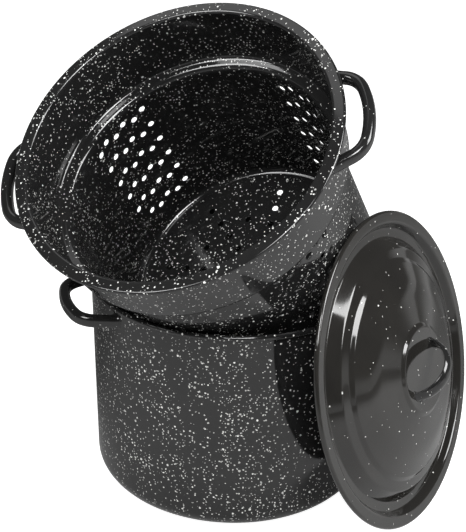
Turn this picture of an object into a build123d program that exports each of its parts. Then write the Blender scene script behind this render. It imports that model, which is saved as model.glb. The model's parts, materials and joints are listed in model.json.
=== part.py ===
"""Water bath canner: enamelled stockpot, perforated insert and domed lid.

The pot stands on the floor with its base centre at the origin.  The insert is
propped at a tilt in the pot's mouth and the lid stands on its edge, leaning on
the insert.  Sizes are millimetres, Z is up and -Y is the front.
"""

import os
from math import asin, atan2, cos, degrees, hypot, pi, radians, sin, sqrt, tan

from build123d import *

# ---- sheet and clearances -------------------------------------------------
sheet = 1.4                  # steel with its enamel coat
rest_gap = 0.3               # air left where one loose part rests on another

# ---- pot ------------------------------------------------------------------
pot_diameter = 280.0         # outside of the wall at the mouth
pot_height = 215.0
pot_taper = 2.5              # how much smaller the radius is at the base
pot_corner = 20.0            # bend between wall and base
bead_bend = 2.0              # centreline bend of the rolled rim

# ---- insert ---------------------------------------------------------------
collar_diameter = pot_diameter + 2.0     # sits on the pot's rolled rim
basket_diameter = pot_diameter - 24.0    # drops inside the pot
basket_taper = 1.0
collar_height = 65.0         # rim down to the outer edge of the seat
seat_drop = 2.5              # how far the seat slopes down inwards
insert_depth = 239.0         # rim down to the underside of the base
insert_corner = 7.0
lip_width = 11.0             # lip beyond the collar
lip_drop = 0.4               # how far the lip slopes down
lip_bend = 1.3               # centreline bend of the lip's rolled edge
seat_bend = 6.0              # centreline bends either side of the seat
insert_tilt = 37.3           # degrees from upright
insert_heading = -121.9      # compass direction of the lean, from +X
insert_turn = 28.0           # turn of the insert about its own axis

# ---- perforations ---------------------------------------------------------
hole_diameter = 6.5
hole_columns = 6
hole_rows = 6
column_pitch = 12.0
row_pitch = 24.5
column_stagger = 5.5         # every second column is this much lower
first_row = 15.5             # below the seat
hole_groups = (40.0, 134.0, 220.0, 314.0)    # degrees from a handle
base_spokes = 8
base_turn = 28.5             # first spoke, degrees from a handle
base_spoke_radii = (0.308, 0.463, 0.615, 0.77)   # share of the basket radius
base_between_radius = 0.535

# ---- lid ------------------------------------------------------------------
lid_diameter = collar_diameter + 19.0
dome_height = 32.0           # floor of the rolled edge up to the boss, mid sheet
channel_depth = 7.0
curl_bend = 1.8              # centreline bend of the rolled edge
lid_centre = (155.9, -73.4)  # plan position of the lid's rim centre
lid_heading = -30.6
lid_turn = -54.4             # turn of the lid handle in the lid's own plane

# ---- grips and lid handle -------------------------------------------------
grip_reach = 32.5            # outside of the bar beyond the wall it is welded to
grip_bar = 10.5              # bar thickness seen from above
grip_height = 12.0
grip_edge = 4.5              # rounding along the bar
grip_front_bend = 100.0      # centreline bend of the front
grip_corner_bend = 24.0
grip_spread = 15.0           # degrees from mid front to the start of a corner
grip_splay = 20.0            # degrees the legs open towards the wall
pot_handle_heading = 18.0
pot_handle_drop = 17.0       # rim down to the middle of the bar
insert_handle_drop = 19.0
lid_strap_width = 14.5
lid_strap_thick = 4.2
lid_strap_arc = 33.6
lid_strap_rise = 26.0        # top of the bow above the boss


def bent_sheet(path, thickness, curl_bend=0.0, curl_angle=0.0):
    """Section of a bent sheet; path holds (radius, height, bend) centreline points."""
    half = thickness / 2
    points = [Vector(r, 0, z) for r, z, _ in path]
    steps = [(b - a).normalized() for a, b in zip(points, points[1:])]
    sides = [[], []]
    starts = [None, None]

    def left_of(step):
        return Vector(-step.Z, 0, step.X)

    for k, side in enumerate((half, -half)):
        here = points[0] + left_of(steps[0]) * side
        starts[k] = here
        for i in range(1, len(points) - 1):
            before, after = steps[i - 1], steps[i]
            cross = before.X * after.Z - before.Z * after.X
            turn = 1 if cross > 0 else -1
            angle = atan2(abs(cross), before.dot(after))
            bend = path[i][2]
            reach = bend * tan(angle / 2)
            into, out = points[i] - before * reach, points[i] + after * reach
            centre = into + left_of(before) * bend * turn
            outward = (points[i] - centre).normalized()
            a = into + left_of(before) * side
            b = out + left_of(after) * side
            m = centre + outward * (bend - side * turn)
            sides[k] += [Edge.make_line(here, a), Edge.make_three_point_arc(a, m, b)]
            here = b
        last = points[-1] + left_of(steps[-1]) * side
        sides[k].append(Edge.make_line(here, last))
        here = last
        if curl_angle:
            centre = points[-1] - left_of(steps[-1]) * curl_bend
            start = atan2(left_of(steps[-1]).Z, left_of(steps[-1]).X)
            size = curl_bend + side
            half_way, end = start - radians(curl_angle) / 2, start - radians(curl_angle)
            m = centre + Vector(cos(half_way), 0, sin(half_way)) * size
            b = centre + Vector(cos(end), 0, sin(end)) * size
            sides[k].append(Edge.make_three_point_arc(here, m, b))
            here = b
        starts.append(here)
    caps = [Edge.make_line(starts[0], starts[1]), Edge.make_line(starts[2], starts[3])]
    return Face(Wire(sides[0] + sides[1] + caps))


def turned(path, curl_bend, curl_angle):
    """Shell of revolution about Z from a bent sheet section."""
    return revolve(bent_sheet(path, sheet, curl_bend, curl_angle), Axis.Z, 360)


# ---- shells, each in its own upright frame --------------------------------
half = sheet / 2
pot_radius = pot_diameter / 2
pot_wall_top = pot_radius - half
pot_bead_centre = (pot_wall_top + bead_bend, pot_height - bead_bend - half)
pot_path = [
    (0, half, 0),
    (pot_wall_top - pot_taper, half, pot_corner),
    (pot_wall_top, pot_bead_centre[1], 0),
]
pot_shell = turned(pot_path, bead_bend, 270)

collar_radius = collar_diameter / 2
basket_radius = basket_diameter / 2
lip_slope = atan2(lip_drop, lip_width - 1.5)
lip_end = (collar_radius + lip_width - half - lip_bend * (1 - sin(lip_slope)), -half - lip_drop)
insert_path = [
    (0, half - insert_depth, 0),
    (basket_radius - half - basket_taper, half - insert_depth, insert_corner),
    (basket_radius - half, half - collar_height - seat_drop, seat_bend),
    (collar_radius - half - 0.5, half - collar_height, seat_bend),
    (collar_radius - half, -half, 2.2),
    (lip_end[0], lip_end[1], 0),
]
insert_shell = turned(insert_path, lip_bend, 190)

lid_radius = lid_diameter / 2
flange_height = 2 * curl_bend + half
floor_height = flange_height - channel_depth
seat_radius = pot_radius - 2.5
lid_path = [
    (0, dome_height, 0),
    (0.29 * seat_radius, dome_height, 4),
    (0.32 * seat_radius, dome_height - 2.2, 4),
    (0.567 * seat_radius, 0.68 * dome_height, 80),
    (0.735 * seat_radius, 0.40 * dome_height, 5),
    (0.764 * seat_radius, 0.31 * dome_height, 5),
    (0.836 * seat_radius, 0.225 * dome_height, 5),
    (0.912 * seat_radius, floor_height, 3),
    (seat_radius - 3.0, floor_height, 3),
    (seat_radius + 1.5, flange_height, 3),
    (lid_radius - half - curl_bend, flange_height, 0),
]
lid_shell = turned(lid_path, curl_bend, 270)

# ---- perforations ---------------------------------------------------------
cutters = []
column_angle = column_pitch / basket_radius
for group in hole_groups:
    for column in range(hole_columns):
        angle = radians(group) + (column - (hole_columns - 1) / 2) * column_angle
        drop = column_stagger if column % 2 else 0.0
        for row in range(hole_rows):
            height = -collar_height - first_row - drop - row * row_pitch
            spot = Vector(basket_radius * cos(angle), basket_radius * sin(angle), height)
            outward = Vector(cos(angle), sin(angle), 0)
            place = Plane(origin=spot, z_dir=outward)
            cutters.append(place.location * Cylinder(hole_diameter / 2, 8 * sheet))
base_spots = [(0.0, 0.0)]
for spoke in range(base_spokes):
    angle = radians(base_turn) + 2 * pi * spoke / base_spokes
    base_spots += [(share * basket_radius, angle) for share in base_spoke_radii]
    base_spots.append((base_between_radius * basket_radius, angle - pi / base_spokes))
for reach, angle in base_spots:
    spot = (reach * cos(angle), reach * sin(angle), half - insert_depth)
    cutters.append(Pos(*spot) * Cylinder(hole_diameter / 2, 8 * sheet))
insert_shell = insert_shell - cutters


# ---- grips and lid handle -------------------------------------------------
def grip_bar_loop(wall_radius, height):
    """Bar bent in a D round the +X side, with both legs running on into the wall."""
    front = wall_radius + grip_reach - grip_bar / 2
    spread, leg_turn = radians(grip_spread), radians(90 - grip_splay)
    lever = grip_front_bend - grip_corner_bend
    corner = Vector(front - grip_front_bend + lever * cos(spread), lever * sin(spread), height)

    def on_corner(angle):
        return corner + Vector(cos(angle), sin(angle), 0) * grip_corner_bend

    bend, shoulder = on_corner(leg_turn), on_corner(spread)
    foot = bend + Vector(-sin(leg_turn), cos(leg_turn), 0) * grip_reach
    leg = [
        Edge.make_line(foot, bend),
        Edge.make_three_point_arc(bend, on_corner((leg_turn + spread) / 2), shoulder),
    ]
    across = Edge.make_three_point_arc(
        shoulder, Vector(front, 0, height), Vector(shoulder.X, -shoulder.Y, height))
    path = Wire(leg + [across] + [edge.mirror(Plane.XZ) for edge in reversed(leg)])
    start = Plane(origin=foot, x_dir=(0, 0, 1), z_dir=bend - foot)
    return sweep(start * RectangleRounded(grip_height, grip_bar, grip_edge), path=path)


def wall_core(low, high, height):
    """Solid inside a straight wall given by its (radius, height) ends."""
    slope = (high[0] - low[0]) / (high[1] - low[1])
    below = low[0] + slope * (height - grip_height - low[1])
    above = low[0] + slope * (height + grip_height - low[1])
    return Pos(0, 0, height) * Cone(below, above, 2 * grip_height)


pot_grip_height = pot_height - pot_handle_drop
pot_core = wall_core(
    (pot_radius - pot_taper, half), (pot_radius, pot_bead_centre[1]), pot_grip_height)
pot_handle = grip_bar_loop(pot_radius, pot_grip_height) - pot_core

insert_core = wall_core(
    (collar_radius - 0.5, half - collar_height), (collar_radius, -half), -insert_handle_drop)
insert_handle = grip_bar_loop(collar_radius, -insert_handle_drop) - insert_core


def strap_section(width, thick):
    """D-shaped strap section: flat inside at x=0, crowned outside."""
    rim = thick * 0.45
    line = Polyline((0, 0, -width / 2), (rim, 0, -width / 2))
    crown = ThreePointArc((rim, 0, -width / 2), (thick, 0, 0), (rim, 0, width / 2))
    back = Polyline((rim, 0, width / 2), (0, 0, width / 2), (0, 0, -width / 2))
    return Face(Wire(line.edges() + [crown.edge()] + back.edges()))


lid_top = dome_height + half
lid_section = Pos(lid_strap_arc - lid_strap_thick, 0, 0) * strap_section(
    lid_strap_width, lid_strap_thick)
lid_ring = revolve(lid_section, Axis.Z, 360)
lid_ring = Pos(0, 0, lid_top + lid_strap_rise - lid_strap_arc) * Rot(90, 0, 0) * lid_ring
lid_handle = lid_ring & (Pos(0, 0, lid_top + 40) * Box(120, 60, 80))


def facing(shape, heading):
    """Turn a part made on the +X side round to a heading in degrees."""
    return Rot(0, 0, heading) * shape


# ---- where the loose parts rest -------------------------------------------
def ring(centre, normal, radius, count=240):
    """Points round a circle in space."""
    flat = Plane(origin=centre, z_dir=normal)
    return [flat.from_local_coords(Vector(radius * cos(a), radius * sin(a), 0))
            for a in (2 * pi * i / count for i in range(count))]


def outer_corner(depth, radius, bend):
    """Outline points round a corner of the insert, as (depth, radius) from the wall inwards."""
    angles = [radians(15 * k) for k in range(7)]
    return [(depth - bend * (1 - sin(a)), radius - bend * (1 - cos(a))) for a in angles]


lip_radius = collar_radius + lip_width
lip_depth = 2 * (lip_bend + half) + lip_drop
insert_outline = [(0, lip_radius - 2), (lip_depth / 2, lip_radius), (lip_depth, lip_radius - 2),
                  (lip_depth, collar_radius)]
insert_outline += outer_corner(collar_height, collar_radius - 0.5, seat_bend + half)
insert_outline += [(collar_height + seat_drop, basket_radius)]
insert_outline += outer_corner(insert_depth, basket_radius - basket_taper, insert_corner)
insert_outline += [(insert_depth, 0)]


def ring_gap(points, tube, top, axis_dir):
    """Least air between a tube along points and the insert hung from its rim centre."""
    least = 1e9
    for point in points:
        offset = point - top
        deep = -offset.dot(axis_dir)
        wide = sqrt(max(offset.dot(offset) - deep * deep, 0.0))
        near = 1e9
        inside = False
        for (d0, r0), (d1, r1) in zip(insert_outline, insert_outline[1:]):
            dd, dr = d1 - d0, r1 - r0
            share = ((deep - d0) * dd + (wide - r0) * dr) / (dd * dd + dr * dr or 1.0)
            share = min(1.0, max(0.0, share))
            near = min(near, hypot(deep - d0 - share * dd, wide - r0 - share * dr))
            if min(d0, d1) < deep <= max(d0, d1):
                inside = wide < r0 + (r1 - r0) * (deep - d0) / (d1 - d0)
        least = min(least, (-near if inside else near) - tube)
    return least


def settle(gap, low, high):
    """Value between low and high where gap falls to the rest clearance."""
    for _ in range(30):
        middle = (low + high) / 2
        if gap(middle) > rest_gap:
            low = middle
        else:
            high = middle
    return low


lean = Vector(cos(radians(insert_heading)), sin(radians(insert_heading)), 0)
insert_axis = lean * sin(radians(insert_tilt)) + Vector(0, 0, cos(radians(insert_tilt)))
down_slope = lean * cos(radians(insert_tilt)) - Vector(0, 0, sin(radians(insert_tilt)))
bead_ring = ring((0, 0, pot_bead_centre[1]), (0, 0, 1), pot_bead_centre[0])
bead_tube = bead_bend + half
front_ring = [p for p in bead_ring if p.dot(lean) > 0]
back_ring = [p for p in bead_ring if p.dot(lean) <= 0]
mouth = Vector(0, 0, pot_height)
side, along = 0.0, 0.75 * insert_depth
for _ in range(4):
    side = settle(lambda s: ring_gap(
        front_ring, bead_tube, mouth + down_slope * s + insert_axis * along, insert_axis),
        side - 30, side + 30)
    along = settle(lambda a: ring_gap(
        back_ring, bead_tube, mouth + down_slope * side + insert_axis * -a, insert_axis),
        -along - 60, -along + 60) * -1
insert_top = mouth + down_slope * side + insert_axis * along
insert_plane = Plane(
    origin=insert_top, x_dir=Vector(0, 0, 1).cross(insert_axis), z_dir=insert_axis)
insert_place = insert_plane.location * Rot(0, 0, insert_turn)

lid_out = Vector(cos(radians(lid_heading)), sin(radians(lid_heading)), 0)
lid_edge = lid_radius - half - curl_bend
foot = Vector(lid_centre[0], lid_centre[1], 0) + lid_out * lid_edge * sin(radians(15.7))


def lid_frame(angle):
    """Plane through the rolled edge of the lid leaning back by an angle in degrees."""
    tilt = radians(angle)
    normal = lid_out * cos(tilt) + Vector(0, 0, 1) * sin(tilt)
    up = Vector(0, 0, 1) * cos(tilt) - lid_out * sin(tilt)
    centre = foot + Vector(0, 0, 1) * (curl_bend + half) + up * lid_edge
    return Plane(origin=centre, x_dir=up, z_dir=normal)


lid_lean = settle(lambda a: ring_gap(
    ring(lid_frame(a).origin, lid_frame(a).z_dir, lid_edge), curl_bend + half,
    insert_top, insert_axis), 5.0, 30.0)
lid_plane = lid_frame(lid_lean)
lid_place = lid_plane.location * Pos(0, 0, -curl_bend - half)

# ---- solids in place ------------------------------------------------------
nodes = {
    "pot_shell": pot_shell,
    "pot_handle_right": facing(pot_handle, pot_handle_heading),
    "pot_handle_left": facing(pot_handle, pot_handle_heading + 180),
    "insert_shell": insert_place * insert_shell,
    "insert_handle_right": insert_place * insert_handle,
    "insert_handle_left": insert_place * facing(insert_handle, 180),
    "lid_shell": lid_place * lid_shell,
    "lid_handle": lid_place * facing(lid_handle, lid_turn),
}

os.makedirs("parts", exist_ok=True)
for name, shape in nodes.items():
    export_step(shape, f"parts/{name}.step")
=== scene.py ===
"""Water bath canner in speckled black enamel: a stockpot, a perforated insert and a domed lid.

Each sub-assembly is a class that holds its sizes.  It builds its meshes upright about its own
axis, and the CAD frame says where that axis stands, so every mesh ends in the row frame.
Lengths are metres, Z is up and -Y is the front.
"""

import json
import logging
import math
from collections.abc import Callable, Sequence
from dataclasses import dataclass, field
from enum import Enum
from typing import Any

import bmesh
import bpy
import numpy as np
from mathutils import Matrix, Vector


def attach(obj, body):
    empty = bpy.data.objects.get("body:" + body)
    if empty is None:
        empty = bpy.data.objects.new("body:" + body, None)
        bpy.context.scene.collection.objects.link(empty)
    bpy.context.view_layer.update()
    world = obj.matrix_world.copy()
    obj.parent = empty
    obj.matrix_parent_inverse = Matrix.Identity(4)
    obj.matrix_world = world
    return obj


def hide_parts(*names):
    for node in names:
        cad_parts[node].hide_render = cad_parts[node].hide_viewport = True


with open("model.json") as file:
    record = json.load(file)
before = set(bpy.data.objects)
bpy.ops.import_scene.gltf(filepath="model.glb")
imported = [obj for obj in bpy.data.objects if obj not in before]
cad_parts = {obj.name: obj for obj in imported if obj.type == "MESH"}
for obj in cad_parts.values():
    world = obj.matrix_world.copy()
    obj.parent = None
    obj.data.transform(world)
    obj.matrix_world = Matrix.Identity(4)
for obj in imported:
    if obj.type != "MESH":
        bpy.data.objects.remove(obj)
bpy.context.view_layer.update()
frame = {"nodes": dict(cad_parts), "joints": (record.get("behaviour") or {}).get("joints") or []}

LOG = logging.getLogger("canner")
MM = 0.001
SHEET = 1.4 * MM
HALF_SHEET = SHEET / 2

Outline = list[tuple[float, float]]


# ---------------------------------------------------------------- node trees
class Nodes:
    """Short hand for filling a shader or geometry node tree."""

    def __init__(self, tree: bpy.types.NodeTree) -> None:
        """Keep the tree that the nodes go into."""
        self.tree = tree

    def add(self, kind: str, inputs: dict[Any, Any] | None = None, **settings: Any) -> bpy.types.Node:
        """Add one node.

        Args:
            kind: Blender's name for the node type.
            inputs: Values or sockets for its inputs, by name or number.
            settings: The node's own properties.

        Returns:
            The new node.
        """
        node = self.tree.nodes.new(kind)
        for name, value in settings.items():
            setattr(node, name, value)
        for key, value in (inputs or {}).items():
            self.feed(node.inputs[key], value)
        return node

    def feed(self, socket: bpy.types.NodeSocket, value: Any) -> None:
        """Link a socket to an input, or set the input's value."""
        if isinstance(value, bpy.types.NodeSocket):
            self.tree.links.new(value, socket)
        else:
            socket.default_value = value

    def math(self, operation: str, *values: Any, clamp: bool = False) -> bpy.types.NodeSocket:
        """Return the result of one Math node."""
        inputs = dict(enumerate(values))
        return self.add("ShaderNodeMath", inputs, operation=operation, use_clamp=clamp).outputs[0]

    def vector(self, x: Any, y: Any, z: Any) -> bpy.types.NodeSocket:
        """Return a vector made of three numbers or sockets."""
        return self.add("ShaderNodeCombineXYZ", {0: x, 1: y, 2: z}).outputs[0]

    def vector_math(self, operation: str, *values: Any) -> bpy.types.NodeSocket:
        """Return the vector result of one Vector Math node."""
        return self.add("ShaderNodeVectorMath", dict(enumerate(values)), operation=operation).outputs[0]

    def scaled(self, vector: bpy.types.NodeSocket, scale: float) -> bpy.types.NodeSocket:
        """Return a vector times a number."""
        node = self.add("ShaderNodeVectorMath", {0: vector}, operation="SCALE")
        node.inputs["Scale"].default_value = scale
        return node.outputs[0]


# ---------------------------------------------------------------- meshes
@dataclass(frozen=True)
class Bend:
    """A corner in the centreline of a pressed sheet."""

    radius: float
    height: float
    bend: float = 0.0


@dataclass(frozen=True)
class PressedSheet:
    """A sheet of even thickness turned about Z, with its free edge rolled over."""

    corners: tuple[Bend, ...]
    roll_bend: float
    roll_angle: float
    longest_step: float = 6 * MM
    arc_step: float = math.radians(9)

    def centreline(self) -> list[tuple[Vector, Vector]]:
        """Return points along the middle of the sheet, each with its left-hand normal."""
        points = [Vector((c.radius, c.height)) for c in self.corners]
        steps = [(b - a).normalized() for a, b in zip(points, points[1:])]
        normals = [Vector((-s.y, s.x)) for s in steps]
        line = [(points[0], normals[0])]
        for i in range(1, len(points) - 1):
            cross = steps[i - 1].cross(steps[i])
            angle = math.atan2(cross, steps[i - 1].dot(steps[i]))
            into = points[i] - steps[i - 1] * self.corners[i].bend * math.tan(abs(angle) / 2)
            self._run(line, into)
            self._arc(line, self.corners[i].bend, angle)
        self._run(line, points[-1])
        self._arc(line, self.roll_bend, -self.roll_angle)
        return line

    def _run(self, line: list[tuple[Vector, Vector]], end: Vector) -> None:
        """Carry the line straight on to an end point in even steps."""
        start, normal = line[-1]
        count = max(1, math.ceil((end - start).length / self.longest_step))
        line += [(start.lerp(end, k / count), normal) for k in range(1, count + 1)]

    def _arc(self, line: list[tuple[Vector, Vector]], bend: float, angle: float) -> None:
        """Carry the line on round an arc, left for a positive angle."""
        start, normal = line[-1]
        side = math.copysign(1.0, angle)
        centre = start + normal * bend * side
        count = max(1, math.ceil(abs(angle) / self.arc_step))
        for k in range(1, count + 1):
            turn = Matrix.Rotation(angle * k / count, 2)
            line.append((centre + turn @ (start - centre), turn @ normal))

    def outline(self) -> Outline:
        """Return the section from the axis along the left face, round the edge and back."""
        line = self.centreline()
        end, normal = line[-1]
        left = [p + n * HALF_SHEET for p, n in line]
        right = [p - n * HALF_SHEET for p, n in reversed(line)]
        edge = [end + Matrix.Rotation(-math.pi * k / 6, 2) @ normal * HALF_SHEET for k in range(1, 6)]
        return [(max(p.x, 0.0), p.y) for p in left + edge + right]


def finished_mesh(name: str, points: np.ndarray, faces: list[tuple[int, ...]]) -> bpy.types.Mesh:
    """Make a smooth closed mesh whose faces point outwards.

    Args:
        name: The mesh's name.
        points: One row of x, y and z for each vertex.
        faces: Vertex numbers of each face, all turning the same way.

    Returns:
        The mesh.
    """
    mesh = bpy.data.meshes.new(name)
    mesh.from_pydata(points.tolist(), [], faces)
    work = bmesh.new()
    work.from_mesh(mesh)
    if work.calc_volume(signed=True) < 0:
        bmesh.ops.reverse_faces(work, faces=work.faces)
    work.to_mesh(mesh)
    work.free()
    mesh.polygons.foreach_set("use_smooth", [True] * len(mesh.polygons))
    return mesh


def turned_mesh(name: str, outline: Outline, segments: int) -> bpy.types.Mesh:
    """Turn a half section, which starts and ends on the axis, into a closed mesh about Z."""
    angles = np.linspace(0, 2 * math.pi, segments, endpoint=False)
    rings = [np.array([[0.0, 0.0, outline[0][1]]])]
    for radius, height in outline[1:-1]:
        rings.append(np.column_stack([radius * np.cos(angles), radius * np.sin(angles),
                                      np.full(segments, height)]))
    rings.append(np.array([[0.0, 0.0, outline[-1][1]]]))
    last = 1 + (len(rings) - 2) * segments
    faces: list[tuple[int, ...]] = []
    for k in range(segments):
        after = (k + 1) % segments
        faces.append((0, 1 + k, 1 + after))
        for ring in range(len(rings) - 3):
            low, high = 1 + ring * segments, 1 + (ring + 1) * segments
            faces.append((low + k, high + k, high + after, low + after))
        faces.append((last, last - segments + after, last - segments + k))
    return finished_mesh(name, np.vstack(rings), faces)


def rounded_outline(core: Sequence[tuple[float, float]], radius: float, arc_steps: int = 3) -> Outline:
    """Offset a convex, anticlockwise core outwards, with an arc round each of its corners."""
    made: Outline = []
    count = len(core)
    for i in range(count):
        here = Vector(core[i])
        before, after = here - Vector(core[i - 1]), Vector(core[(i + 1) % count]) - here
        start = math.atan2(-before.x, before.y)
        turn = (math.atan2(-after.x, after.y) - start) % (2 * math.pi)
        steps = arc_steps if turn > 0.5 else 1
        for k in range(steps + 1):
            angle = start + turn * k / steps
            made.append((here.x + radius * math.cos(angle), here.y + radius * math.sin(angle)))
    return made


def swept_mesh(name: str, rings: Sequence[np.ndarray]) -> bpy.types.Mesh:
    """Join rings of equal length, in order, into a closed mesh with flat ends."""
    count = len(rings[0])
    starts = range(0, (len(rings) - 1) * count, count)
    faces = [(s + k, s + (k + 1) % count, s + count + (k + 1) % count, s + count + k)
             for s in starts for k in range(count)]
    faces.append(tuple(reversed(range(count))))
    faces.append(tuple(range((len(rings) - 1) * count, len(rings) * count)))
    return finished_mesh(name, np.vstack(rings), faces)


@dataclass(frozen=True)
class GripBar:
    """A bar bent in a D, standing level out of an upright wall that its two legs are welded to."""

    reach: float = 32.5 * MM
    thickness: float = 10.5 * MM
    height: float = 12 * MM
    edge: float = 4.5 * MM
    front_bend: float = 100 * MM
    corner_bend: float = 24 * MM
    spread: float = math.radians(15)
    splay: float = math.radians(20)
    flare: float = 0.12
    flare_length: float = 1.8 * MM
    stations: int = 12

    def section(self) -> np.ndarray:
        """Return the bar's section as rows of (outwards, up)."""
        out, up = self.thickness / 2 - self.edge, self.height / 2 - self.edge
        return np.array(rounded_outline([(out, -up), (out, up), (-out, up), (-out, -up)], self.edge, 5))

    def half_line(self, wall_radius: float) -> list[tuple[Vector, Vector]]:
        """Return points and outward normals from the middle of the front to the start of a leg."""
        front = wall_radius + self.reach - self.thickness / 2 - self.front_bend
        lever = self.front_bend - self.corner_bend
        corner = (front + lever * math.cos(self.spread), lever * math.sin(self.spread))
        line = []
        for centre, bend, low, high in (((front, 0.0), self.front_bend, 0.0, self.spread),
                                        (corner, self.corner_bend, self.spread, math.pi / 2 - self.splay)):
            for angle in np.linspace(low, high, self.stations, endpoint=False):
                outward = Vector((math.cos(angle), math.sin(angle)))
                line.append((Vector(centre) + outward * bend, outward))
        outward = Vector((math.sin(self.splay), math.cos(self.splay)))
        return line + [(Vector(corner) + outward * self.corner_bend, outward)]

    def mesh(self, name: str, wall_radius: float) -> bpy.types.Mesh:
        """Sweep the bar on the +X side of a wall about Z, level with the origin.

        Args:
            name: The mesh's name.
            wall_radius: Radius at which the legs end, in the middle of the wall's sheet.

        Returns:
            The closed mesh.
        """
        section, line = self.section(), self.half_line(wall_radius + HALF_SHEET)
        rings = [self._ring(point, outward, section) for point, outward in line]
        point, outward = line[-1]
        run = np.array([-outward.y, outward.x])
        starts = rings[-1][:, :2]
        ahead = starts @ run
        length = -ahead - np.sqrt(ahead**2 - (starts**2).sum(1) + wall_radius**2)
        for share in np.sin(np.linspace(0, math.pi / 2, self.stations))[1:]:
            away = (1 - share) * length
            swell = 1 + self.flare * np.exp(-((away / self.flare_length) ** 2))
            ring = self._ring(point, outward, section * swell[:, None])
            ring[:, :2] += (length * share)[:, None] * run
            rings.append(ring)
        mirrored = [ring * (1, -1, 1) for ring in reversed(rings[1:])]
        return swept_mesh(name, mirrored + rings)

    @staticmethod
    def _ring(point: Vector, outward: Vector, section: np.ndarray) -> np.ndarray:
        """Stand a section on a point of the line."""
        return np.column_stack([point.x + outward.x * section[:, 0], point.y + outward.y * section[:, 0],
                                section[:, 1]])


@dataclass(frozen=True)
class Strap:
    """A bowed strap, flat inside and crowned outside, with its ends welded to a sheet."""

    width: float
    thickness: float
    arc: float
    rounding: float = 0.9 * MM
    flare: float = 0.16
    flare_length: float = 1.6 * MM
    stations: int = 72

    def section(self) -> Outline:
        """Return the strap's section as (depth from the inside, place across the width)."""
        low, rim, top = self.rounding, 0.45 * self.thickness, self.thickness - self.rounding
        reach = self.width / 2 - self.rounding
        crown = [(max(low, rim - self.rounding) + (top - low) * (1 - s * s), s * reach)
                 for s in np.linspace(-1, 1, 9)]
        return rounded_outline([(low, reach), (low, -reach)] + crown[1:-1], self.rounding)

    def mesh(self, name: str, centre: float, landing: Callable[[float], float]) -> bpy.types.Mesh:
        """Sweep the section round the bow, in the XY plane, with its width along Z.

        Args:
            name: The mesh's name.
            centre: Place of the bow's centre along X.
            landing: Angle from +X at which a line of a given radius meets the sheet.

        Returns:
            The closed mesh.
        """
        section = np.array(self.section())
        middle = np.array([self.thickness / 2, 0.0])
        half_length = landing(self.arc) * self.arc
        rings = []
        for share in np.sin(np.linspace(-math.pi / 2, math.pi / 2, self.stations)):
            away = (1 - abs(share)) * half_length
            swell = 1 + self.flare * math.exp(-((away / self.flare_length) ** 2))
            depth, across = ((section - middle) * swell + middle).T
            radius = self.arc - self.thickness + depth
            angle = np.array([landing(r) for r in radius]) * share
            rings.append(np.column_stack([centre + radius * np.cos(angle), radius * np.sin(angle), across]))
        return swept_mesh(name, rings)


def lands_on_flat(centre: float, level: float) -> Callable[[float], float]:
    """Angle at which a bow round (centre, 0) meets the plane at a level along X."""
    def landing(radius: float) -> float:
        return math.acos((level - centre) / radius)
    return landing


# ---------------------------------------------------------------- finishes
@dataclass(frozen=True)
class FleckLayer:
    """Flecks of one size in the enamel, one at most in each cell of space."""

    cell: float
    radius: float
    share: float
    offset: float


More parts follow.
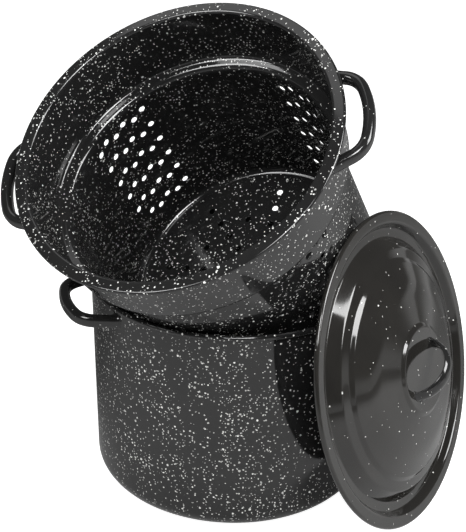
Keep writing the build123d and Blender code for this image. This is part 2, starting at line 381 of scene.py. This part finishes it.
@dataclass(frozen=True)
class Enamel:
    """Glassy black enamel with pale flecks under the gloss."""

    name: str
    layers: tuple[FleckLayer, ...]
    glaze: tuple[float, float, float] = (0.008, 0.008, 0.0085)
    glaze_light: tuple[float, float, float] = (0.016, 0.016, 0.0155)
    fleck: tuple[float, float, float] = (0.93, 0.93, 0.90)
    roughness: float = 0.07
    peel: float = 0.05 * MM
    peel_share: float = 0.07
    fleck_edge: float = 0.16 * MM
    fleck_wobble: float = 1.5 * MM
    fleck_roughness: float = 0.06
    least_size: float = 0.45
    size_skew: float = 1.6
    least_bright: float = 0.4
    cluster_size: float = 45 * MM
    cluster_range: tuple[float, float] = (0.36, 0.64)
    crowding: tuple[float, float] = (0.45, 1.35)
    refraction: float = 1.52

    def material(self) -> bpy.types.Material:
        """Build the procedural material, on object coordinates."""
        material = bpy.data.materials.new(self.name)
        material.use_nodes = True
        material.node_tree.nodes.clear()
        nodes = Nodes(material.node_tree)
        place = nodes.add("ShaderNodeTexCoord").outputs["Object"]
        wobble = nodes.add("ShaderNodeTexNoise", {"Vector": place, "Scale": 520.0, "Detail": 2.0})
        centred = nodes.vector_math("SUBTRACT", wobble.outputs["Color"], (0.5, 0.5, 0.5))
        bent = nodes.vector_math("ADD", place, nodes.scaled(centred, self.fleck_wobble))
        cloud = nodes.add("ShaderNodeTexNoise", {
            "Vector": place, "Scale": 1 / self.cluster_size, "Detail": 2.0})
        crowd = nodes.add("ShaderNodeMapRange", {
            "Value": cloud.outputs[0], "From Min": self.cluster_range[0], "From Max": self.cluster_range[1],
            "To Min": self.crowding[0], "To Max": self.crowding[1]}).outputs[0]
        flecks: Any = 0.0
        for layer in self.layers:
            flecks = nodes.math("MAXIMUM", flecks, self._layer(nodes, layer, bent, crowd))
        tone = nodes.add("ShaderNodeTexNoise", {"Vector": place, "Scale": 26.0, "Detail": 3.0}).outputs[0]
        glaze = nodes.add("ShaderNodeMix", {"Factor": tone, 6: (*self.glaze, 1), 7: (*self.glaze_light, 1)},
                          data_type="RGBA")
        colour = nodes.add("ShaderNodeMix", {"Factor": flecks, 6: glaze.outputs[2], 7: (*self.fleck, 1)},
                           data_type="RGBA").outputs[2]
        haze = nodes.add("ShaderNodeTexNoise", {"Vector": place, "Scale": 60.0, "Detail": 4.0}).outputs[0]
        rough = nodes.add("ShaderNodeMapRange", {"Value": haze, "To Min": 0.7 * self.roughness,
                                                 "To Max": 1.5 * self.roughness}).outputs[0]
        rough = nodes.math("ADD", rough, nodes.math("MULTIPLY", flecks, self.fleck_roughness))
        shader = nodes.add("ShaderNodeBsdfPrincipled", {
            "Base Color": colour, "Roughness": rough, "Normal": self._surface(nodes, place),
            "IOR": self.refraction})
        nodes.add("ShaderNodeOutputMaterial", {"Surface": shader.outputs[0]})
        return material

    def _layer(self, nodes: Nodes, layer: FleckLayer, bent: bpy.types.NodeSocket,
               crowd: bpy.types.NodeSocket) -> bpy.types.NodeSocket:
        """Return how much of one layer's flecks shows at a point."""
        moved = nodes.vector_math("ADD", bent, (layer.offset, 2 * layer.offset, 3 * layer.offset))
        cells = nodes.add("ShaderNodeTexVoronoi", {
            "Vector": moved, "Scale": 1 / layer.cell, "Randomness": 1.0})
        chance = nodes.add("ShaderNodeSeparateColor", {0: cells.outputs["Color"]}).outputs
        spread = nodes.math("POWER", chance[0], self.size_skew)
        size = nodes.math("MULTIPLY_ADD", spread, 1 - self.least_size, self.least_size)
        radius = nodes.math("MULTIPLY", size, layer.radius / layer.cell)
        inner = nodes.math("SUBTRACT", radius, self.fleck_edge / layer.cell)
        spot = nodes.add("ShaderNodeMapRange", {"Value": cells.outputs["Distance"], "From Min": radius,
                                                "From Max": inner}).outputs[0]
        kept = nodes.math("LESS_THAN", chance[1], nodes.math("MULTIPLY", crowd, layer.share))
        bright = nodes.math("MULTIPLY_ADD", chance[2], 1 - self.least_bright, self.least_bright)
        return nodes.math("MULTIPLY", nodes.math("MULTIPLY", spot, kept), bright)

    def _surface(self, nodes: Nodes, place: bpy.types.NodeSocket) -> bpy.types.NodeSocket:
        """Return a normal with the slow waves and the fine peel of fired enamel."""
        waves = nodes.add("ShaderNodeTexNoise", {"Vector": place, "Scale": 28.0, "Detail": 1.0}).outputs[0]
        peel = nodes.add("ShaderNodeTexNoise", {"Vector": place, "Scale": 240.0, "Detail": 2.0}).outputs[0]
        height = nodes.math("MULTIPLY_ADD", peel, self.peel_share, waves)
        return nodes.add("ShaderNodeBump", {
            "Height": height, "Strength": 1.0, "Distance": self.peel}).outputs[0]


class Finish(Enum):
    """The record's material slots, each with its enamel."""

    OUTSIDE = ("enamel_outside", Enamel("speckled_enamel_outside", (
        FleckLayer(2.8 * MM, 1.0 * MM, 0.85, 0.0), FleckLayer(5.2 * MM, 1.3 * MM, 0.7, 0.31))))
    INSIDE = ("enamel_inside", Enamel("speckled_enamel_inside", (
        FleckLayer(2.8 * MM, 0.9 * MM, 0.8, 0.11), FleckLayer(5.2 * MM, 1.25 * MM, 0.65, 0.43))))
    LID = ("enamel_lid", Enamel("speckled_enamel_lid", (
        FleckLayer(4.8 * MM, 0.85 * MM, 0.35, 0.23), FleckLayer(9.0 * MM, 1.1 * MM, 0.3, 0.57)),
        glaze=(0.010, 0.0095, 0.009), glaze_light=(0.02, 0.019, 0.017)))
    GRIPS = ("enamel_grips", Enamel("speckled_enamel_grips", (
        FleckLayer(4.0 * MM, 0.8 * MM, 0.5, 0.37), FleckLayer(7.0 * MM, 1.1 * MM, 0.4, 0.71)),
        roughness=0.09))

    def __init__(self, slot: str, enamel: Enamel) -> None:
        """Keep the slot's name and its enamel."""
        self.slot = slot
        self.enamel = enamel

    @property
    def material(self) -> bpy.types.Material:
        """The enamel's material, made when it is first asked for."""
        return bpy.data.materials.get(self.enamel.name) or self.enamel.material()


# ---------------------------------------------------------------- placing
class Body(Enum):
    """The frame's bodies."""

    POT = "pot"
    INSERT = "insert"
    LID = "lid"


def node_points(*names: str) -> np.ndarray:
    """Return the vertices of some CAD nodes, one row each."""
    return np.vstack([[v.co[:] for v in frame["nodes"][n].data.vertices] for n in names])


def slide_axis(body: Body) -> Vector:
    """Return the direction in which a loose body slides off, or up for the pot."""
    for joint in frame["joints"]:
        if joint["child"] == body.value:
            return Vector(joint["axis"]).normalized()
    return Vector((0, 0, 1))


def standing(body: Body, shell: str, outline: Outline, grips: Sequence[str]) -> Matrix:
    """Find where a turned piece stands in the frame.

    Args:
        body: The body it belongs to, whose slide runs along the piece's own axis.
        shell: The CAD node of the turned sheet.
        outline: The sheet's section in the piece's own upright frame.
        grips: CAD nodes of its grips; X runs towards the first.

    Returns:
        The matrix from the piece's own frame to the row frame.
    """
    axis = slide_axis(body)
    across = axis.orthogonal().normalized()
    along = axis.cross(across)
    shell_points = node_points(shell)
    spread = [shell_points @ np.array(d) for d in (across, along)]
    middle = [(s.min() + s.max()) / 2 for s in spread]
    height = (shell_points @ np.array(axis)).max() - max(z for _, z in outline)
    origin = across * middle[0] + along * middle[1] + axis * height
    grip_points = node_points(*grips)
    u, v = ((grip_points @ np.array(d)) - m for d, m in zip((across, along), middle))
    angle = 0.5 * math.atan2(2 * np.mean(u * v), np.mean(u * u) - np.mean(v * v))
    x_axis = across * math.cos(angle) + along * math.sin(angle)
    if (Vector(node_points(grips[0]).mean(0)) - origin).dot(x_axis) < 0:
        x_axis.negate()
    turn = Matrix((x_axis, axis.cross(x_axis), axis)).transposed()
    return Matrix.Translation(origin) @ turn.to_4x4()


def settled(name: str, mesh: bpy.types.Mesh, place: Matrix, node: str, body: Body,
            finish: Finish) -> bpy.types.Object:
    """Put a mesh where it stands and hand it to the frame in a CAD node's stead.

    Args:
        name: The piece's name.
        mesh: Its mesh, in its own upright frame.
        place: From that frame to the row frame.
        node: The CAD node that it stands for.
        body: The body that it rides on.
        finish: Its enamel.

    Returns:
        The piece, at the origin with its place in its mesh.
    """
    mesh.transform(place)
    mesh.materials.clear()
    mesh.materials.append(finish.material)
    piece = bpy.data.objects.new(name, mesh)
    bpy.context.scene.collection.objects.link(piece)
    piece.data = even_shading(piece)
    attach(piece, body.value)
    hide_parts(node)
    LOG.info("%s: %d faces, on %s", name, len(piece.data.polygons), body.value)
    return piece


def even_shading(piece: bpy.types.Object) -> bpy.types.Mesh:
    """Return the piece's mesh with normals led by its larger faces."""
    modifier = piece.modifiers.new("even", "WEIGHTED_NORMAL")
    modifier.weight = 70
    ready = baked(piece)
    piece.modifiers.clear()
    return ready


def baked(piece: bpy.types.Object) -> bpy.types.Mesh:
    """Return a plain mesh of what a piece's modifiers make."""
    graph = bpy.context.evaluated_depsgraph_get()
    return bpy.data.meshes.new_from_object(piece.evaluated_get(graph), preserve_all_data_layers=True,
                                           depsgraph=graph)


# ---------------------------------------------------------------- pot
@dataclass
class Pot:
    """The stockpot, with a rolled rim and two side grips."""

    wall_diameter: float = 280 * MM
    height: float = 215 * MM
    taper: float = 2.5 * MM
    corner: float = 20 * MM
    rim_bend: float = 2.0 * MM
    grip_drop: float = 17 * MM
    grip: GripBar = field(default_factory=GripBar)
    segments: int = 288

    @property
    def radius(self) -> float:
        """Outside radius of the wall at the mouth."""
        return self.wall_diameter / 2

    def sheet(self) -> PressedSheet:
        """Return the pot's pressed sheet."""
        middle = self.radius - HALF_SHEET
        return PressedSheet((Bend(0, HALF_SHEET), Bend(middle - self.taper, HALF_SHEET, self.corner),
                             Bend(middle, self.height - self.rim_bend - HALF_SHEET)),
                            self.rim_bend, math.radians(270))

    def build(self) -> list[bpy.types.Object]:
        """Make the pot's pieces and put them on its body."""
        outline = self.sheet().outline()
        place = standing(Body.POT, "pot_shell", outline, ("pot_handle_right", "pot_handle_left"))
        shell = turned_mesh("pot_shell_enamel", outline, self.segments)
        pieces = [settled("pot_shell_enamel", shell, place, "pot_shell", Body.POT, Finish.OUTSIDE)]
        for side, turn in (("right", 0.0), ("left", math.pi)):
            mesh = self.grip.mesh(f"pot_grip_{side}", self.radius - HALF_SHEET)
            grip_place = place @ Matrix.Rotation(turn, 4, "Z") @ Matrix.Translation(
                (0, 0, self.height - self.grip_drop))
            pieces.append(settled(f"pot_grip_{side}", mesh, grip_place, f"pot_handle_{side}", Body.POT,
                                  Finish.GRIPS))
        return pieces


# ---------------------------------------------------------------- insert
@dataclass(frozen=True)
class Perforations:
    """Drain holes: groups of staggered columns round the wall and spokes in the base."""

    diameter: float = 6.5 * MM
    easing: float = 0.45 * MM
    groups: tuple[float, ...] = (40.0, 134.0, 220.0, 314.0)
    columns: int = 6
    rows: int = 6
    column_pitch: float = 12 * MM
    row_pitch: float = 24.5 * MM
    stagger: float = 5.5 * MM
    spokes: int = 8
    spoke_turn: float = 28.5
    spoke_shares: tuple[float, ...] = (0.308, 0.463, 0.615, 0.77)
    between_share: float = 0.535
    sides: int = 16

    def cutter(self) -> bpy.types.Object:
        """Make the punch: narrow in the middle of the sheet and opening out at both faces."""
        radius, easing = self.diameter / 2, self.easing
        half = []
        for degrees in (90, 52, 18):
            angle = math.radians(degrees)
            half.append((radius + easing * (1 - math.sin(angle)),
                         HALF_SHEET - easing * (1 - math.cos(angle))))
        wide, end = radius + 2.2 * easing, 4 * SHEET
        half += [(wide, HALF_SHEET + 0.55 * easing), (wide, end)]
        outline = [(0.0, -end)] + [(r, -z) for r, z in reversed(half)] + half + [(0.0, end)]
        punch = bpy.data.objects.new("punch", turned_mesh("punch", outline, self.sides))
        bpy.context.scene.collection.objects.link(punch)
        return punch

    def tree(self) -> bpy.types.NodeTree:
        """Build the node tree that punches a sheet's wall and base."""
        tree = bpy.data.node_groups.new("perforations", "GeometryNodeTree")
        tree.interface.new_socket("Sheet", in_out="INPUT", socket_type="NodeSocketGeometry")
        for name, kind in self.named_inputs():
            tree.interface.new_socket(name, in_out="INPUT", socket_type=kind)
        tree.interface.new_socket("Punched", in_out="OUTPUT", socket_type="NodeSocketGeometry")
        nodes = Nodes(tree)
        given = nodes.add("NodeGroupInput").outputs
        punch = nodes.add("GeometryNodeObjectInfo", {"Object": given["Punch"], "As Instance": True})
        wall = self._wall(nodes, given, punch.outputs["Geometry"])
        base = self._base(nodes, given, punch.outputs["Geometry"])
        joined = nodes.add("GeometryNodeJoinGeometry")
        nodes.feed(joined.inputs[0], wall)
        nodes.feed(joined.inputs[0], base)
        punches = nodes.add("GeometryNodeRealizeInstances", {0: joined.outputs[0]}).outputs[0]
        cut = nodes.add("GeometryNodeMeshBoolean", {"Mesh 1": given["Sheet"], "Mesh 2": punches},
                        operation="DIFFERENCE", solver="MANIFOLD").outputs[0]
        smooth = nodes.add("GeometryNodeSetShadeSmooth", {0: cut}).outputs[0]
        whole = nodes.add("GeometryNodeRealizeInstances", {0: smooth}).outputs[0]
        dressed = nodes.add("GeometryNodeSetMaterial", {"Geometry": whole, "Material": given["Finish"]})
        nodes.add("NodeGroupOutput", {0: dressed.outputs[0]})
        return tree

    @staticmethod
    def named_inputs() -> list[tuple[str, str]]:
        """Return the tree's inputs and their socket types."""
        return [("Punch", "NodeSocketObject"), ("Finish", "NodeSocketMaterial"),
                ("Wall Radius", "NodeSocketFloat"), ("First Row Height", "NodeSocketFloat"),
                ("Base Height", "NodeSocketFloat"), ("Column Pitch", "NodeSocketFloat"),
                ("Row Pitch", "NodeSocketFloat"), ("Stagger", "NodeSocketFloat"),
                ("Columns", "NodeSocketInt"), ("Rows", "NodeSocketInt"), ("Spokes", "NodeSocketInt")]

    def values(self, wall_radius: float, seat: float, first_row: float, base: float) -> dict[str, Any]:
        """Return a value for each of the tree's sizes."""
        return {"Wall Radius": wall_radius, "First Row Height": seat - first_row, "Base Height": base,
                "Column Pitch": self.column_pitch, "Row Pitch": self.row_pitch, "Stagger": self.stagger,
                "Columns": self.columns, "Rows": self.rows, "Spokes": self.spokes}

    @staticmethod
    def _pick(nodes: Nodes, index: Any, values: Sequence[float]) -> bpy.types.NodeSocket:
        """Return the value that an index picks from a list."""
        node = nodes.add("GeometryNodeIndexSwitch", data_type="FLOAT")
        while len(node.index_switch_items) < len(values):
            node.index_switch_items.new()
        nodes.feed(node.inputs[0], index)
        for socket, value in zip(list(node.inputs)[1:], values):
            socket.default_value = value
        return node.outputs[0]

    def _wall(self, nodes: Nodes, given: Any, punch: Any) -> bpy.types.NodeSocket:
        """Return the punches round the wall, each pointing out from the axis."""
        index = nodes.add("GeometryNodeInputIndex").outputs[0]
        per_group = nodes.math("MULTIPLY", given["Columns"], given["Rows"])
        group = nodes.math("FLOOR", nodes.math("DIVIDE", index, per_group))
        in_group = nodes.math("SUBTRACT", index, nodes.math("MULTIPLY", group, per_group))
        column = nodes.math("FLOOR", nodes.math("DIVIDE", in_group, given["Rows"]))
        row = nodes.math("SUBTRACT", in_group, nodes.math("MULTIPLY", column, given["Rows"]))
        centred = nodes.math("SUBTRACT", column, nodes.math(
            "MULTIPLY", nodes.math("SUBTRACT", given["Columns"], 1.0), 0.5))
        turn = nodes.math("DIVIDE", given["Column Pitch"], given["Wall Radius"])
        swing = nodes.math("MULTIPLY", centred, turn)
        heading = self._pick(nodes, group, [math.radians(g) for g in self.groups])
        angle = nodes.math("ADD", heading, swing)
        outward = nodes.vector(nodes.math("COSINE", angle), nodes.math("SINE", angle), 0.0)
        drop = nodes.math("MULTIPLY", nodes.math("MODULO", column, 2.0), given["Stagger"])
        drop = nodes.math("ADD", drop, nodes.math("MULTIPLY", row, given["Row Pitch"]))
        level = nodes.math("SUBTRACT", given["First Row Height"], drop)
        flat = nodes.add("ShaderNodeVectorMath", {0: outward, "Scale": given["Wall Radius"]},
                         operation="SCALE")
        spot = nodes.vector_math("ADD", flat.outputs[0], nodes.vector(0.0, 0.0, level))
        total = nodes.math("MULTIPLY", per_group, float(len(self.groups)))
        points = nodes.add("GeometryNodePoints", {"Count": total, "Position": spot}).outputs[0]
        position = nodes.add("GeometryNodeInputPosition").outputs[0]
        sideways = nodes.vector_math("MULTIPLY", position, (1.0, 1.0, 0.0))
        aim = nodes.add("FunctionNodeAlignRotationToVector", {"Vector": sideways}, axis="Z").outputs[0]
        return nodes.add("GeometryNodeInstanceOnPoints", {
            "Points": points, "Instance": punch, "Rotation": aim}).outputs[0]

    def _base(self, nodes: Nodes, given: Any, punch: Any) -> bpy.types.NodeSocket:
        """Return the upright punches of the base: one per spot on each spoke and one in the middle."""
        shares = (*self.spoke_shares, self.between_share)
        per_spoke = float(len(shares))
        index = nodes.add("GeometryNodeInputIndex").outputs[0]
        spoke = nodes.math("FLOOR", nodes.math("DIVIDE", index, per_spoke))
        spot_number = nodes.math("SUBTRACT", index, nodes.math("MULTIPLY", spoke, per_spoke))
        share = self._pick(nodes, spot_number, shares)
        total = nodes.math("MULTIPLY", given["Spokes"], per_spoke)
        off_centre = nodes.math("LESS_THAN", index, total)
        reach = nodes.math("MULTIPLY", nodes.math("MULTIPLY", share, off_centre), given["Wall Radius"])
        between = nodes.math("GREATER_THAN", spot_number, per_spoke - 1.5)
        steps = nodes.math("SUBTRACT", spoke, nodes.math("MULTIPLY", between, 0.5))
        sweep = nodes.math("DIVIDE", 2 * math.pi, given["Spokes"])
        angle = nodes.math("MULTIPLY_ADD", steps, sweep, math.radians(self.spoke_turn))
        spot = nodes.vector(nodes.math("MULTIPLY", reach, nodes.math("COSINE", angle)),
                            nodes.math("MULTIPLY", reach, nodes.math("SINE", angle)), given["Base Height"])
        points = nodes.add("GeometryNodePoints", {
            "Count": nodes.math("ADD", total, 1.0), "Position": spot}).outputs[0]
        return nodes.add("GeometryNodeInstanceOnPoints", {"Points": points, "Instance": punch}).outputs[0]

    def punched(self, sheet: bpy.types.Mesh, finish: Finish, sizes: dict[str, Any]) -> bpy.types.Mesh:
        """Return a sheet's mesh with its holes.

        Args:
            sheet: The closed mesh, upright about its axis.
            finish: The enamel of the sheet and of the holes' edges.
            sizes: A value for each named size of the tree.

        Returns:
            The plain punched mesh.
        """
        work = bpy.data.objects.new("punching", sheet)
        bpy.context.scene.collection.objects.link(work)
        punch = self.cutter()
        tree = self.tree()
        modifier = work.modifiers.new("perforations", "NODES")
        modifier.node_group = tree
        sockets = {s.name: s.identifier for s in tree.interface.items_tree if s.in_out == "INPUT"}
        for name, value in {**sizes, "Punch": punch, "Finish": finish.material}.items():
            modifier[sockets[name]] = value
        result = baked(work)
        bpy.data.objects.remove(work)
        bpy.data.objects.remove(punch)
        return result


@dataclass
class Insert:
    """The perforated insert: a basket under a stepped collar with a turned-over lip."""

    collar_diameter: float = 282 * MM
    basket_diameter: float = 256 * MM
    basket_taper: float = 1.0 * MM
    collar_height: float = 65 * MM
    depth: float = 239 * MM
    corner: float = 7 * MM
    seat_drop: float = 2.5 * MM
    seat_bend: float = 6 * MM
    lip_width: float = 11 * MM
    lip_drop: float = 0.4 * MM
    lip_inset: float = 1.5 * MM
    lip_bend: float = 2.2 * MM
    collar_draft: float = 0.5 * MM
    roll_bend: float = 1.3 * MM
    roll_angle: float = math.radians(190)
    grip_drop: float = 19 * MM
    first_row: float = 15.5 * MM
    grip: GripBar = field(default_factory=GripBar)
    holes: Perforations = field(default_factory=Perforations)
    segments: int = 320

    def sheet(self) -> PressedSheet:
        """Return the insert's pressed sheet, with its lip at height 0."""
        collar, basket = self.collar_diameter / 2, self.basket_diameter / 2
        slope = math.atan2(self.lip_drop, self.lip_width - self.lip_inset)
        lip_end = collar + self.lip_width - HALF_SHEET - self.roll_bend * (1 - math.sin(slope))
        base, seat = HALF_SHEET - self.depth, HALF_SHEET - self.collar_height
        return PressedSheet((
            Bend(0, base), Bend(basket - HALF_SHEET - self.basket_taper, base, self.corner),
            Bend(basket - HALF_SHEET, seat - self.seat_drop, self.seat_bend),
            Bend(collar - HALF_SHEET - self.collar_draft, seat, self.seat_bend),
            Bend(collar - HALF_SHEET, -HALF_SHEET, self.lip_bend),
            Bend(lip_end, -HALF_SHEET - self.lip_drop)), self.roll_bend, self.roll_angle)

    def build(self) -> list[bpy.types.Object]:
        """Make the insert's pieces and put them on its body."""
        outline = self.sheet().outline()
        grips = ("insert_handle_right", "insert_handle_left")
        place = standing(Body.INSERT, "insert_shell", outline, grips)
        plain = turned_mesh("insert_sheet", outline, self.segments)
        sizes = self.holes.values(self.basket_diameter / 2 - HALF_SHEET - self.basket_taper / 2,
                                  -self.collar_height, self.first_row, HALF_SHEET - self.depth)
        shell = self.holes.punched(plain, Finish.INSIDE, sizes)
        pieces = [settled("insert_shell_enamel", shell, place, "insert_shell", Body.INSERT, Finish.INSIDE)]
        for side, turn in (("right", 0.0), ("left", math.pi)):
            mesh = self.grip.mesh(f"insert_grip_{side}", self.collar_diameter / 2 - HALF_SHEET)
            grip_place = place @ Matrix.Rotation(turn, 4, "Z") @ Matrix.Translation((0, 0, -self.grip_drop))
            pieces.append(settled(f"insert_grip_{side}", mesh, grip_place, f"insert_handle_{side}",
                                  Body.INSERT, Finish.GRIPS))
        return pieces


# ---------------------------------------------------------------- lid
@dataclass
class Lid:
    """The domed lid, with a stepped shoulder, a channel inside its rolled edge and a bow grip."""

    diameter: float = 301 * MM
    dome_height: float = 32 * MM
    channel_depth: float = 7 * MM
    roll_bend: float = 1.8 * MM
    seat_radius: float = 137.5 * MM
    grip_rise: float = 26 * MM
    grip: Strap = field(default_factory=lambda: Strap(14.5 * MM, 4.2 * MM, 33.6 * MM, flare=0.3,
                                                      flare_length=2.2 * MM))
    segments: int = 288

    def sheet(self) -> PressedSheet:
        """Return the lid's pressed sheet, with the underside of its rolled edge at height 0."""
        rise, seat = self.dome_height, self.seat_radius
        flange = 2 * self.roll_bend + HALF_SHEET
        floor = flange - self.channel_depth
        return PressedSheet((
            Bend(0, rise), Bend(0.29 * seat, rise, 4 * MM), Bend(0.32 * seat, rise - 2.2 * MM, 4 * MM),
            Bend(0.567 * seat, 0.68 * rise, 80 * MM), Bend(0.735 * seat, 0.40 * rise, 5 * MM),
            Bend(0.764 * seat, 0.31 * rise, 5 * MM), Bend(0.836 * seat, 0.225 * rise, 5 * MM),
            Bend(0.912 * seat, floor, 3 * MM), Bend(seat - 3 * MM, floor, 3 * MM),
            Bend(seat + 1.5 * MM, flange, 3 * MM),
            Bend(self.diameter / 2 - HALF_SHEET - self.roll_bend, flange)),
            self.roll_bend, math.radians(270), longest_step=4 * MM, arc_step=math.radians(6))

    def build(self) -> list[bpy.types.Object]:
        """Make the lid's pieces and put them on its body."""
        top = self.dome_height + HALF_SHEET
        outline = self.sheet().outline()
        place = standing(Body.LID, "lid_shell", outline, ("lid_handle",))
        shell = turned_mesh("lid_shell_enamel", outline, self.segments)
        centre = self.grip_rise - self.grip.arc
        grip = self.grip.mesh("lid_grip", centre, lands_on_flat(centre, -HALF_SHEET))
        upright = Matrix(((0, 1, 0, 0), (0, 0, 1, 0), (1, 0, 0, top), (0, 0, 0, 1)))
        return [settled("lid_shell_enamel", shell, place, "lid_shell", Body.LID, Finish.LID),
                settled("lid_grip", grip, place @ upright, "lid_handle", Body.LID, Finish.GRIPS)]


# ---------------------------------------------------------------- studio
@dataclass(frozen=True)
class SoftLight:
    """A rectangular soft light, aimed at a point."""

    name: str
    place: tuple[float, float, float]
    aim: tuple[float, float, float]
    width: float
    height: float
    radiance: float

    def build(self) -> None:
        """Make the light; its power follows from its area and how bright its face looks."""
        data = bpy.data.lights.new(self.name, "AREA")
        data.shape = "RECTANGLE"
        data.size, data.size_y = self.width, self.height
        data.energy = self.radiance * math.pi * self.width * self.height
        light = bpy.data.objects.new(self.name, data)
        light.location = self.place
        light.rotation_euler = (Vector(self.aim) - Vector(self.place)).to_track_quat("-Z", "Y").to_euler()
        bpy.context.scene.collection.objects.link(light)


@dataclass(frozen=True)
class Studio:
    """A floor that runs out to a dim room, soft lights and the camera.

    Floor and room look white to the camera.  To the glaze the room is dim from a little above the
    horizon up, and the floor carries painted shade round the object, darker there than further out.
    """

    room: float = 0.07
    horizon: tuple[float, float] = (0.04, 0.09)
    floor_glow: float = 0.65
    floor_own_glow: float = 0.12
    floor_half: float = 9.0
    floor_tone: float = 0.42
    floor_roughness: float = 0.9
    lights: tuple[SoftLight, ...] = (
        SoftLight("softbox_right", (1.63, -0.48, 1.49), (0.19, -0.1, 0.15), 0.9, 1.2, 15.0),
        SoftLight("softbox_left", (-1.32, -0.79, 1.66), (0.0, 0.05, 0.4), 0.7, 0.7, 14.0),
        SoftLight("panel_left", (-0.62, 0.7, 2.2), (0.0, 0.1, 0.25), 0.9, 0.85, 1.2),
        SoftLight("key_front", (0.1, -1.4, 1.9), (0.0, 0.0, 0.2), 0.7, 0.7, 22.0),
    )
    # Painted shade on the floor round the object, seen only in the glaze: its centre, reach, stretch and
    # darkest share.
    painted_shade_centre: tuple[float, float] = (-0.1, 0.7)
    painted_shade_reach: tuple[float, float] = (0.55, 0.85)
    painted_shade_stretch: float = 1.3
    painted_shade_share: float = 0.2
    target: tuple[float, float, float] = (-2.155 * MM, 0.0, 214.75 * MM)
    distance: float = 1316.9 * MM
    elevation: float = 26.03
    roll: float = 0.98
    lens: float = 91.35

    def build(self) -> None:
        """Make everything round the object."""
        world = bpy.data.worlds.new("white_surroundings")
        world.use_nodes = True
        nodes = Nodes(world.node_tree)
        towards = nodes.add("ShaderNodeTexCoord").outputs["Generated"]
        height = nodes.add("ShaderNodeSeparateXYZ", {0: towards}).outputs["Z"]
        glow = nodes.add("ShaderNodeMapRange", {
            "Value": height, "From Min": self.horizon[0], "From Max": self.horizon[1],
            "To Min": self.floor_glow, "To Max": self.room}).outputs[0]
        seen = nodes.add("ShaderNodeLightPath").outputs["Is Camera Ray"]
        background = world.node_tree.nodes["Background"].inputs
        background["Color"].default_value = (1, 1, 1, 1)
        nodes.feed(background["Strength"], nodes.math("MAXIMUM", glow, seen))
        scene = bpy.context.scene
        scene.world = world
        scene.view_settings.view_transform = "Standard"
        self._floor()
        for light in self.lights:
            light.build()
        self._camera()

    def _floor(self) -> None:
        """Lay the floor: white to the camera, with painted shade round the object in what the glaze
        reflects.
        """
        mesh = bpy.data.meshes.new("floor")
        half = self.floor_half
        mesh.from_pydata([(-half, -half, 0), (half, -half, 0), (half, half, 0), (-half, half, 0)], [],
                         [(0, 1, 2, 3)])
        material = bpy.data.materials.new("pale_floor")
        material.use_nodes = True
        nodes = Nodes(material.node_tree)
        spot = nodes.add("ShaderNodeTexCoord").outputs["Object"]
        place = nodes.add("ShaderNodeSeparateXYZ", {0: spot}).outputs
        away = nodes.vector(nodes.math("DIVIDE", nodes.math("SUBTRACT", place[0], self.painted_shade_centre[0]),
                                       self.painted_shade_stretch),
                            nodes.math("SUBTRACT", place[1], self.painted_shade_centre[1]), 0.0)
        reach = nodes.add("ShaderNodeVectorMath", {0: away}, operation="LENGTH").outputs["Value"]
        # Painted shade: the floor's glow falls to its darkest share round the object, in reflections only.
        share = nodes.add("ShaderNodeMapRange", {
            "Value": reach, "From Min": self.painted_shade_reach[0], "From Max": self.painted_shade_reach[1],
            "To Min": self.painted_shade_share, "To Max": 1.0}, interpolation_type="SMOOTHSTEP").outputs[0]
        seen = nodes.add("ShaderNodeLightPath").outputs["Is Camera Ray"]
        glow = nodes.math("MAXIMUM", nodes.math("MULTIPLY", share, self.floor_own_glow), seen)
        shader = material.node_tree.nodes["Principled BSDF"].inputs
        # Painted shade also darkens the floor's colour round the object; the camera still sees white.
        tone = nodes.math("MULTIPLY", nodes.math("MAXIMUM", share, seen), self.floor_tone)
        nodes.feed(shader["Base Color"], nodes.vector(tone, tone, tone))
        shader["Roughness"].default_value = self.floor_roughness
        shader["Emission Color"].default_value = (1, 1, 1, 1)
        nodes.feed(shader["Emission Strength"], glow)
        mesh.materials.append(material)
        floor = bpy.data.objects.new("floor", mesh)
        bpy.context.scene.collection.objects.link(floor)

    def _camera(self) -> None:
        """Stand the camera in front of the object and a little above it."""
        rise, roll = math.radians(self.elevation), math.radians(self.roll)
        back = Vector((0, -math.cos(rise), math.sin(rise)))
        level, up = Vector((1, 0, 0)), Vector((0, math.sin(rise), math.cos(rise)))
        right = level * math.cos(roll) + up * math.sin(roll)
        top = up * math.cos(roll) - level * math.sin(roll)
        data = bpy.data.cameras.new("camera")
        data.lens = self.lens
        camera = bpy.data.objects.new("camera", data)
        turn = Matrix((right, top, back)).transposed()
        camera.matrix_world = Matrix.Translation(Vector(self.target) + back * self.distance) @ turn.to_4x4()
        bpy.context.scene.collection.objects.link(camera)
        bpy.context.scene.camera = camera


def main() -> None:
    """Build the studio and the three sub-assemblies."""
    logging.basicConfig(level=logging.INFO, format="%(name)s: %(message)s")
    Studio().build()
    for part in (Pot(), Insert(), Lid()):
        pieces = part.build()
        LOG.info("%s: %d pieces", type(part).__name__.lower(), len(pieces))


if __name__ == "__main__":
    main()
